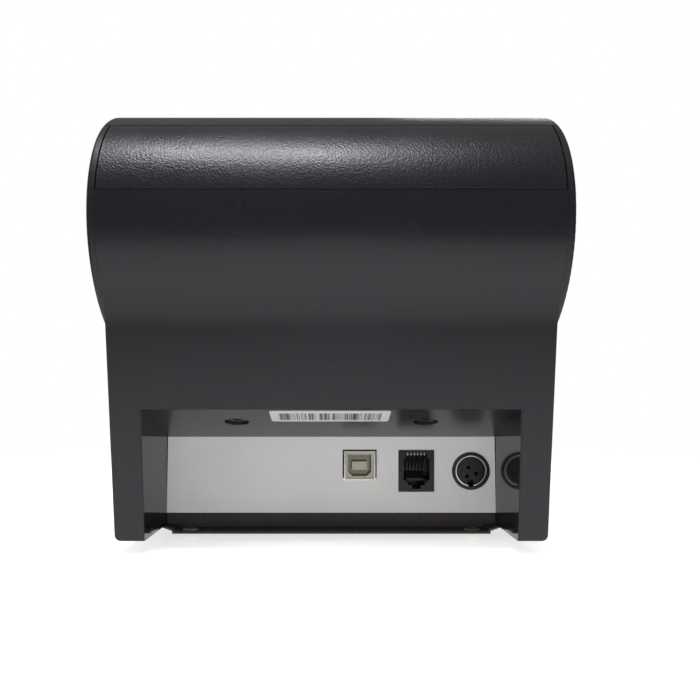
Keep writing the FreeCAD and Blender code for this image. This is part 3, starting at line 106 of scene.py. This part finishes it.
softbox("overhead_softbox", (0.125, 0.34, 1.05), (0.05, 0.06, 0.10), 0.42, 0.15, 5.5, (0.97, 0.975, 1.0))
softbox("left_softbox", (1.1, 0.5, 0.75), (0.0, 0.0, 0.08), 0.6, 0.6, 4.0, mirrored=False)
softbox("front_softbox", (-0.6, -1.3, 0.9), (0.0, 0.0, 0.08), 0.8, 0.6, 8.0)
softbox("recess_softbox", (0.0, 0.33, 0.06), (0.0, 0.05, 0.03), 0.06, 0.05, 0.34, mirrored=False)

world = bpy.data.worlds.new("studio")
bpy.context.scene.world = world
world.use_nodes = True
sky = world.node_tree
sky.nodes.clear()
direction = node(sky, "ShaderNodeTexCoord")
split = node(sky, "ShaderNodeSeparateXYZ", feed={0: direction.outputs["Generated"]})
overhead = node(sky, "ShaderNodeMapRange", feed={
    "Value": split.outputs["Z"], "From Min": 0.60, "From Max": 1.00, "To Min": 0.02, "To Max": 0.22})
ahead = node(sky, "ShaderNodeMapRange", feed={
    "Value": split.outputs["Y"], "From Min": 0.25, "From Max": -0.35, "To Min": 0.0, "To Max": 0.22})
mirrored_sky = node(sky, "ShaderNodeMath", {"operation": "MAXIMUM"},
                    {0: overhead.outputs["Result"], 1: ahead.outputs["Result"]})
paths = node(sky, "ShaderNodeLightPath")
dim = node(sky, "ShaderNodeMix", {"data_type": "FLOAT"},
           {0: paths.outputs["Is Glossy Ray"], 2: 0.30, 3: mirrored_sky.outputs[0]})
strength = node(sky, "ShaderNodeMix", {"data_type": "FLOAT"},
                {0: paths.outputs["Is Camera Ray"], 2: dim.outputs[0], 3: 1.0})
sky_light = node(sky, "ShaderNodeBackground", feed={"Color": WHITE, "Strength": strength.outputs[0]})
node(sky, "ShaderNodeOutputWorld", feed={"Surface": sky_light.outputs[0]})

FLOOR_HALF = 3.0
NEAR_SHADOW = 0.18
PLAIN_WHITE = 0.50
floor_mesh = bpy.data.meshes.new("studio_floor")
shape = bmesh.new()
bmesh.ops.create_grid(shape, x_segments=1, y_segments=1, size=FLOOR_HALF)
shape.to_mesh(floor_mesh)
shape.free()
floor = bpy.data.objects.new("studio_floor", floor_mesh)
bpy.context.scene.collection.objects.link(floor)
floor_paint = bpy.data.materials.new("studio_floor")
floor_paint.use_nodes = True
tree = floor_paint.node_tree
tree.nodes.clear()
where = node(tree, "ShaderNodeTexCoord")
away = node(tree, "ShaderNodeVectorMath", {"operation": "LENGTH"}, {0: where.outputs["Object"]})
far = node(tree, "ShaderNodeMapRange", {"interpolation_type": "SMOOTHSTEP"},
           {"Value": away.outputs["Value"], "From Min": NEAR_SHADOW, "From Max": PLAIN_WHITE})
paths = node(tree, "ShaderNodeLightPath")
matt = node(tree, "ShaderNodeBsdfDiffuse", feed={"Color": (0.86, 0.86, 0.86, 1)})
glow = node(tree, "ShaderNodeEmission", feed={"Color": WHITE, "Strength": 0.62})
shaded = node(tree, "ShaderNodeAddShader", feed={0: matt.outputs[0], 1: glow.outputs[0]})
plain = node(tree, "ShaderNodeEmission", feed={"Color": WHITE, "Strength": 1.0})
pictured = node(tree, "ShaderNodeMixShader", feed={0: far.outputs["Result"], 1: shaded.outputs[0],
                                                   2: plain.outputs[0]})
sheen = node(tree, "ShaderNodeMapRange", {"interpolation_type": "SMOOTHSTEP"}, {
    "Value": away.outputs["Value"], "From Min": 0.42, "From Max": 0.72, "To Min": 0.84, "To Max": 0.04})
close_by = node(tree, "ShaderNodeMapRange", {"interpolation_type": "SMOOTHSTEP"}, {
    "Value": away.outputs["Value"], "From Min": 0.14, "From Max": 0.34, "To Min": 0.20, "To Max": 0.0})
sheen_sum = node(tree, "ShaderNodeMath", {"operation": "ADD"},
                 {0: sheen.outputs["Result"], 1: close_by.outputs["Result"]})
mirrored_floor = node(tree, "ShaderNodeEmission", feed={"Color": WHITE, "Strength": sheen_sum.outputs[0]})
lit = node(tree, "ShaderNodeMixShader", feed={0: paths.outputs["Is Glossy Ray"], 1: matt.outputs[0],
                                              2: mirrored_floor.outputs[0]})
seen = node(tree, "ShaderNodeMixShader", feed={0: paths.outputs["Is Camera Ray"], 1: lit.outputs[0],
                                               2: pictured.outputs[0]})
node(tree, "ShaderNodeOutputMaterial", feed={"Surface": seen.outputs[0]})
floor_mesh.materials.append(floor_paint)


# Plastics. Dark grey ABS from a mould with a spark-eroded finish: a fine matt grain on every outside
# face, glossy walls in the socket recess, a drawn-out leather grain on the round cover, and a little
# dust on what faces up. The other mouldings and the rubbers share the same build.
def effect(name, inputs, outputs):
    """Starts a node group with named inputs and outputs, and returns its tree and end nodes."""
    group = bpy.data.node_groups.new(name, "ShaderNodeTree")
    for label, kind, value in inputs:
        socket = group.interface.new_socket(label, in_out="INPUT", socket_type=kind)
        if value is not None:
            socket.default_value = value
    for label, kind in outputs:
        group.interface.new_socket(label, in_out="OUTPUT", socket_type=kind)
    start = group.nodes.new("NodeGroupInput")
    end = group.nodes.new("NodeGroupOutput")
    return group, start, end


def place_effect(tree, group, **values):
    made = tree.nodes.new("ShaderNodeGroup")
    made.node_tree = group
    for label, value in values.items():
        made.inputs[label].default_value = value
    return made


def maths(tree, operation, first, second=0.0):
    return node(tree, "ShaderNodeMath", {"operation": operation}, {0: first, 1: second}).outputs[0]


mould_grain, start, end = effect(
    "mould_grain", [("Grain", "NodeSocketFloat", 2600.0)],
    [("Height", "NodeSocketFloat"), ("Mottle", "NodeSocketFloat")])
where = node(mould_grain, "ShaderNodeTexCoord")
pits = node(mould_grain, "ShaderNodeTexNoise", feed={"Vector": where.outputs["Object"], "Detail": 2.0,
                                                     "Roughness": 0.6})
mould_grain.links.new(start.outputs["Grain"], pits.inputs["Scale"])
clouds = node(mould_grain, "ShaderNodeTexNoise", feed={"Vector": where.outputs["Object"], "Scale": 38.0,
                                                       "Detail": 3.0})
mould_grain.links.new(pits.outputs["Fac"], end.inputs["Height"])
mould_grain.links.new(clouds.outputs["Fac"], end.inputs["Mottle"])

settled_dust, start, end = effect("settled_dust", [("Amount", "NodeSocketFloat", 0.5)],
                                  [("Mask", "NodeSocketFloat")])
facing = node(settled_dust, "ShaderNodeNewGeometry")
upward = node(settled_dust, "ShaderNodeSeparateXYZ", feed={0: facing.outputs["Normal"]})
where = node(settled_dust, "ShaderNodeTexCoord")
specks = node(settled_dust, "ShaderNodeTexNoise", feed={"Vector": where.outputs["Object"], "Scale": 1400.0,
                                                        "Detail": 1.0})
lit = node(settled_dust, "ShaderNodeMapRange", feed={"Value": specks.outputs["Fac"], "From Min": 0.68,
                                                     "From Max": 0.76})
top_side = maths(settled_dust, "MAXIMUM", upward.outputs["Z"], 0.0)
sparse = maths(settled_dust, "MULTIPLY", lit.outputs["Result"], top_side)
mask = node(settled_dust, "ShaderNodeMath", {"operation": "MULTIPLY"}, {0: sparse})
settled_dust.links.new(start.outputs["Amount"], mask.inputs[1])
settled_dust.links.new(mask.outputs[0], end.inputs["Mask"])

DUST = (0.30, 0.29, 0.27, 1.0)
SPECULAR_TINT = (0.95, 0.95, 1.0, 1.0)
RECESS_HALF_WIDTH = 0.0624
RECESS_BACK_Y = 0.0490
CEILING_SLOPE = 0.311
CEILING_BASE_Z = 0.0224
RECESS_WALL_ROUGHNESS = 0.09
RECESS_CEILING_ROUGHNESS = 0.26


def recess_zone(tree):
    """1 on the smooth walls and ceiling of the socket recess, 0 on the grained outside."""
    where = node(tree, "ShaderNodeTexCoord")
    split = node(tree, "ShaderNodeSeparateXYZ", feed={0: where.outputs["Object"]})
    between = maths(tree, "LESS_THAN", maths(tree, "ABSOLUTE", split.outputs["X"]), RECESS_HALF_WIDTH)
    behind = maths(tree, "GREATER_THAN", split.outputs["Y"], RECESS_BACK_Y)
    lean = maths(tree, "MULTIPLY", split.outputs["Y"], CEILING_SLOPE)
    below = maths(tree, "LESS_THAN", maths(tree, "SUBTRACT", split.outputs["Z"], lean), CEILING_BASE_Z)
    return maths(tree, "MULTIPLY", maths(tree, "MULTIPLY", between, behind), below)


def moulded(name, colour, roughness, grain, depth, dust=0.10, leather=False, gloss_inside=None):
    """A moulded plastic: mottled colour, dust, and grain as a bump. The depth is in metres."""
    paint = bpy.data.materials.new(name)
    paint.use_nodes = True
    tree = paint.node_tree
    shader = tree.nodes["Principled BSDF"]
    texture = place_effect(tree, mould_grain, Grain=grain)
    fall = place_effect(tree, settled_dust, Amount=dust)
    dark = [c * 0.90 for c in colour] + [1.0]
    light = [c * 1.10 for c in colour] + [1.0]
    tone = node(tree, "ShaderNodeMix", {"data_type": "RGBA"},
                {0: texture.outputs["Mottle"], 6: dark, 7: light})
    dusty = node(tree, "ShaderNodeMix", {"data_type": "RGBA"}, {0: fall.outputs["Mask"], 6: tone.outputs[2],
                                                              7: DUST})
    tree.links.new(dusty.outputs[2], shader.inputs["Base Color"])
    shader.inputs["Specular Tint"].default_value = SPECULAR_TINT
    rough = node(tree, "ShaderNodeMapRange", feed={"Value": texture.outputs["Mottle"], "From Min": 0.3,
                                                   "From Max": 0.7, "To Min": roughness - 0.03,
                                                   "To Max": roughness + 0.03})
    finish = rough.outputs["Result"]
    height = texture.outputs["Height"]
    if gloss_inside:
        zone = gloss_inside(tree)
        facing = node(tree, "ShaderNodeNewGeometry")
        tilt = node(tree, "ShaderNodeSeparateXYZ", feed={0: facing.outputs["True Normal"]})
        ceiling = maths(tree, "GREATER_THAN", maths(tree, "ABSOLUTE", tilt.outputs["Z"]), 0.5)
        inner_rough = node(tree, "ShaderNodeMapRange", feed={
            "Value": ceiling, "To Min": RECESS_WALL_ROUGHNESS, "To Max": RECESS_CEILING_ROUGHNESS})
        smooth = node(tree, "ShaderNodeMix", {"data_type": "FLOAT"},
                      {0: zone, 2: finish, 3: inner_rough.outputs["Result"]})
        sheen = node(tree, "ShaderNodeMapRange", feed={"Value": zone, "To Min": 0.5, "To Max": 0.36})
        tree.links.new(sheen.outputs["Result"], shader.inputs["Specular IOR Level"])
        finish = smooth.outputs[0]
        height = maths(tree, "MULTIPLY", height, maths(tree, "SUBTRACT", 1.0, zone))
    tree.links.new(finish, shader.inputs["Roughness"])
    if leather:
        hide = place_effect(tree, leather_grain)
        height = maths(tree, "ADD", maths(tree, "MULTIPLY", height, 0.25), hide.outputs["Height"])
    bump = node(tree, "ShaderNodeBump", feed={"Strength": 1.0, "Distance": depth, "Height": height})
    tree.links.new(bump.outputs["Normal"], shader.inputs["Normal"])
    return paint


leather_grain, start, end = effect("leather_grain", [], [("Height", "NodeSocketFloat")])
where = node(leather_grain, "ShaderNodeTexCoord")
warp = node(leather_grain, "ShaderNodeTexNoise", feed={"Vector": where.outputs["Object"], "Scale": 420.0,
                                                       "Detail": 2.0})
centred = node(leather_grain, "ShaderNodeVectorMath", {"operation": "SUBTRACT"},
               {0: warp.outputs["Color"], 1: (0.5, 0.5, 0.5)})
small = node(leather_grain, "ShaderNodeVectorMath", {"operation": "SCALE"}, {0: centred.outputs[0]})
small.inputs["Scale"].default_value = 0.0009
moved = node(leather_grain, "ShaderNodeVectorMath", {"operation": "ADD"},
             {0: where.outputs["Object"], 1: small.outputs[0]})
turned = node(leather_grain, "ShaderNodeVectorRotate", {"rotation_type": "Y_AXIS"},
              {"Vector": moved.outputs[0], "Angle": 0.75})
drawn_out = node(leather_grain, "ShaderNodeVectorMath", {"operation": "MULTIPLY"},
                 {0: turned.outputs[0], 1: (0.55, 1.0, 1.0)})
cells = node(leather_grain, "ShaderNodeTexVoronoi", {"feature": "SMOOTH_F1"},
             {"Vector": drawn_out.outputs[0], "Scale": 1900.0, "Smoothness": 0.7})
pebbles = node(leather_grain, "ShaderNodeMapRange", {"interpolation_type": "SMOOTHSTEP"},
               {"Value": cells.outputs["Distance"], "From Min": 0.05, "From Max": 0.75})
leather_grain.links.new(pebbles.outputs["Result"], end.inputs["Height"])

CASE_GREY = (0.0122, 0.0122, 0.0145)
case_plastic = moulded("case_plastic", CASE_GREY, 0.27, 2600.0, 0.00003, gloss_inside=recess_zone)
cover_plastic = moulded("cover_plastic", CASE_GREY, 0.31, 2600.0, 0.00004, dust=0.0, leather=True)
panel_plastic = moulded("panel_plastic", CASE_GREY, 0.34, 2600.0, 0.00003)
lid_plastic = moulded("lid_plastic", (0.020, 0.020, 0.024), 0.38, 2600.0, 0.00005)
inner_plastic = moulded("inner_plastic", (0.016, 0.016, 0.018), 0.50, 1800.0, 0.00004)
button_plastic = moulded("button_plastic", (0.10, 0.10, 0.11), 0.38, 2600.0, 0.00002)
gear_plastic = moulded("gear_plastic", (0.72, 0.70, 0.63), 0.35, 900.0, 0.00001, dust=0.0)
white_plastic = moulded("white_plastic", (0.56, 0.56, 0.545), 0.50, 1500.0, 0.00002, dust=0.0)
beige_plastic = moulded("beige_plastic", (0.34, 0.32, 0.26), 0.45, 1500.0, 0.00002, dust=0.0)
black_plastic = moulded("black_plastic", (0.006, 0.006, 0.008), 0.30, 1500.0, 0.00001, dust=0.0)
component = moulded("component", (0.014, 0.014, 0.014), 0.45, 2000.0, 0.00003, dust=0.0)
foot_rubber = moulded("foot_rubber", (0.012, 0.012, 0.012), 0.75, 2200.0, 0.00008, dust=0.4)
roller_rubber = moulded("roller_rubber", (0.018, 0.018, 0.018), 0.65, 3200.0, 0.00003, dust=0.0)


# Metals. Zinc-plated and stainless sheet with a rolled grain, bright drawn pins and shells, yellow
# passivated and black-finished screws, and the base plate's dark paint, which isn't metallic.
def metal(name, colour, roughness, stretch=(1.0, 1.0, 1.0), depth=0.000008, metallic=1.0):
    """A metal with fine marks drawn out along one axis, and slightly uneven gloss."""
    paint = bpy.data.materials.new(name)
    paint.use_nodes = True
    tree = paint.node_tree
    shader = tree.nodes["Principled BSDF"]
    shader.inputs["Metallic"].default_value = metallic
    where = node(tree, "ShaderNodeTexCoord")
    pulled = node(tree, "ShaderNodeMapping", feed={"Vector": where.outputs["Object"], "Scale": stretch})
    marks = node(tree, "ShaderNodeTexNoise", feed={"Vector": pulled.outputs[0], "Scale": 900.0,
                                                   "Detail": 3.0})
    patches = node(tree, "ShaderNodeTexNoise", feed={"Vector": where.outputs["Object"], "Scale": 120.0,
                                                     "Detail": 2.0})
    dark = [c * 0.85 for c in colour] + [1.0]
    light = [min(c * 1.08, 1.0) for c in colour] + [1.0]
    tone = node(tree, "ShaderNodeMix", {"data_type": "RGBA"}, {0: patches.outputs["Fac"], 6: dark, 7: light})
    tree.links.new(tone.outputs[2], shader.inputs["Base Color"])
    rough = node(tree, "ShaderNodeMapRange", feed={"Value": marks.outputs["Fac"], "From Min": 0.3,
                                                   "From Max": 0.7, "To Min": roughness * 0.8,
                                                   "To Max": roughness * 1.25})
    tree.links.new(rough.outputs["Result"], shader.inputs["Roughness"])
    bump = node(tree, "ShaderNodeBump", feed={"Strength": 1.0, "Distance": depth,
                                              "Height": marks.outputs["Fac"]})
    tree.links.new(bump.outputs["Normal"], shader.inputs["Normal"])
    return paint


zinc_steel = metal("zinc_steel", (0.60, 0.60, 0.58), 0.32, (0.15, 1.0, 1.0))
bright_steel = metal("bright_steel", (0.78, 0.77, 0.74), 0.18, (0.2, 1.0, 1.0), 0.000003)
blade_steel = metal("blade_steel", (0.66, 0.66, 0.66), 0.24, (1.0, 0.06, 1.0))
brass_steel = metal("brass_steel", (0.80, 0.74, 0.58), 0.34)
gold_contact = metal("gold_contact", (0.62, 0.55, 0.38), 0.30)
aluminium = metal("aluminium", (0.74, 0.75, 0.76), 0.35, (0.05, 1.0, 1.0))
black_screw = metal("black_screw", (0.16, 0.16, 0.165), 0.40)
base_steel = metal("base_steel", (0.026, 0.022, 0.021), 0.60, depth=0.000015, metallic=0.0)


# Circuit boards. Green solder mask over copper, drawn as plain lighter lanes in a brick pattern that
# isn't any real circuit.
board = bpy.data.materials.new("board")
board.use_nodes = True
tree = board.node_tree
shader = tree.nodes["Principled BSDF"]
where = node(tree, "ShaderNodeTexCoord")
lanes = node(tree, "ShaderNodeTexBrick", {"offset": 0.37}, {
    "Vector": where.outputs["Object"], "Color1": (0.012, 0.085, 0.030, 1), "Color2": (0.016, 0.11, 0.040, 1),
    "Mortar": (0.030, 0.17, 0.070, 1), "Scale": 90.0, "Mortar Size": 0.03})
tree.links.new(lanes.outputs["Color"], shader.inputs["Base Color"])
raised = node(tree, "ShaderNodeBump", feed={"Strength": 0.4, "Distance": 0.00004,
                                            "Height": lanes.outputs["Fac"]})
tree.links.new(raised.outputs["Normal"], shader.inputs["Normal"])
shader.inputs["Roughness"].default_value = 0.30

# The print head's ceramic, glazed and pale, with a faint speckle.
head_ceramic = moulded("head_ceramic", (0.78, 0.76, 0.68), 0.16, 2400.0, 0.000004, dust=0.0)

# The lenses over the lights: clear, tinted polycarbonate.
lens = bpy.data.materials.new("lens")
lens.use_nodes = True
tree = lens.node_tree
shader = tree.nodes["Principled BSDF"]
shader.inputs["Transmission Weight"].default_value = 0.7
shader.inputs["IOR"].default_value = 1.58
where = node(tree, "ShaderNodeTexCoord")
haze = node(tree, "ShaderNodeTexNoise", feed={"Vector": where.outputs["Object"], "Scale": 700.0})
tint = node(tree, "ShaderNodeMix", {"data_type": "RGBA"},
            {0: haze.outputs["Fac"], 6: (0.45, 0.62, 0.48, 1), 7: (0.60, 0.78, 0.62, 1)})
tree.links.new(tint.outputs[2], shader.inputs["Base Color"])
shader.inputs["Roughness"].default_value = 0.12


# The label in the recess. White paper, glued to the ceiling, with a row of black bars of uneven
# widths. The widths are random and encode nothing.
label_paper = bpy.data.materials.new("label_paper")
label_paper.use_nodes = True
tree = label_paper.node_tree
shader = tree.nodes["Principled BSDF"]
low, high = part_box("bar_code_label")
label_middle_x = (low[0] + high[0]) / 2
label_middle_y = (low[1] + high[1]) / 2
BAR_MODULE = 0.00019
BARS_HALF_LENGTH = 0.0172
BARS_FROM_Y = -0.0040
BARS_TO_Y = 0.0036
BARE_SHARE = 0.42
where = node(tree, "ShaderNodeTexCoord")
split = node(tree, "ShaderNodeSeparateXYZ", feed={0: where.outputs["Object"]})
along = maths(tree, "SUBTRACT", split.outputs["X"], label_middle_x)
across = maths(tree, "SUBTRACT", split.outputs["Y"], label_middle_y)
step = maths(tree, "FLOOR", maths(tree, "DIVIDE", along, BAR_MODULE))
chance = node(tree, "ShaderNodeTexWhiteNoise", {"noise_dimensions": "1D"}, {"W": step})
ink = maths(tree, "GREATER_THAN", chance.outputs["Value"], BARE_SHARE)
inside_x = maths(tree, "LESS_THAN", maths(tree, "ABSOLUTE", along), BARS_HALF_LENGTH)
above = maths(tree, "GREATER_THAN", across, BARS_FROM_Y)
below = maths(tree, "LESS_THAN", across, BARS_TO_Y)
in_rows = maths(tree, "MULTIPLY", above, below)
printed = maths(tree, "MULTIPLY", maths(tree, "MULTIPLY", ink, inside_x), in_rows)
fibres = node(tree, "ShaderNodeTexNoise", feed={"Vector": where.outputs["Object"], "Scale": 900.0,
                                                "Detail": 3.0})
sheet = node(tree, "ShaderNodeMix", {"data_type": "RGBA"},
             {0: fibres.outputs["Fac"], 6: (0.60, 0.60, 0.61, 1), 7: (0.70, 0.70, 0.70, 1)})
face = node(tree, "ShaderNodeMix", {"data_type": "RGBA"},
            {0: printed, 6: sheet.outputs[2], 7: (0.06, 0.06, 0.06, 1)})
tree.links.new(face.outputs[2], shader.inputs["Base Color"])
shader.inputs["Roughness"].default_value = 0.40
relief = node(tree, "ShaderNodeBump", feed={"Strength": 0.3, "Distance": 0.00001,
                                            "Height": fibres.outputs["Fac"]})
tree.links.new(relief.outputs["Normal"], shader.inputs["Normal"])


# Finishes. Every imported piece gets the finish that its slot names.
FINISHES = {
    "case_plastic": case_plastic, "cover_plastic": cover_plastic, "lid_plastic": lid_plastic,
    "panel_plastic": panel_plastic, "white_plastic": white_plastic, "beige_plastic": beige_plastic,
    "black_plastic": black_plastic,
    "inner_plastic": inner_plastic, "base_steel": base_steel, "zinc_steel": zinc_steel,
    "bright_steel": bright_steel, "brass_steel": brass_steel, "black_screw": black_screw,
    "blade_steel": blade_steel, "aluminium": aluminium, "head_ceramic": head_ceramic,
    "roller_rubber": roller_rubber, "foot_rubber": foot_rubber, "gear_plastic": gear_plastic,
    "board": board, "component": component, "label_paper": label_paper, "lens": lens,
    "button_plastic": button_plastic, "gold_contact": gold_contact,
}
slot_of = {part["node"]: part["material_slot"] for part in frame["record"]["subparts"]}
body_of = {name: body for body, names in frame["record"]["behaviour"]["bodies"].items() for name in names}
for name, obj in frame["nodes"].items():
    obj.data.materials.clear()
    obj.data.materials.append(FINISHES[slot_of[name]])


# Casings with broken edges. Every moulded shell has a small radius on its outer edges, which the
# mould gives it, so each shell is dressed with a rounded copy of its solid.
EDGE_RADIUS = 0.0003
SHARP_DEG = 32.0
SEAM_MERGE = 0.000002
FLAT_DEG = 0.5


def dressed(name):
    """A copy of a casing with its sharp edges rounded, which replaces that casing."""
    source = frame["nodes"][name]
    mesh = source.data.copy()
    mesh.name = name + "_dressed"
    shell = bmesh.new()
    shell.from_mesh(mesh)
    bmesh.ops.remove_doubles(shell, verts=shell.verts, dist=SEAM_MERGE)
    bmesh.ops.dissolve_limit(shell, angle_limit=math.radians(FLAT_DEG), verts=shell.verts,
                             edges=shell.edges)
    shell.to_mesh(mesh)
    shell.free()
    piece = bpy.data.objects.new(name + "_dressed", mesh)
    bpy.context.scene.collection.objects.link(piece)
    edge = piece.modifiers.new("rounding", "BEVEL")
    edge.width = EDGE_RADIUS
    edge.segments = 2
    edge.limit_method = "ANGLE"
    edge.angle_limit = math.radians(SHARP_DEG)
    edge.use_clamp_overlap = True
    flat = piece.modifiers.new("flat_faces", "WEIGHTED_NORMAL")
    flat.mode = "FACE_AREA"
    flat.weight = 100
    mesh.shade_smooth()
    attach(piece, body_of[name])
    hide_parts(name)


for shell_name in ("main_housing", "front_cover", "rear_cover", "port_panel", "base_plate"):
    dressed(shell_name)
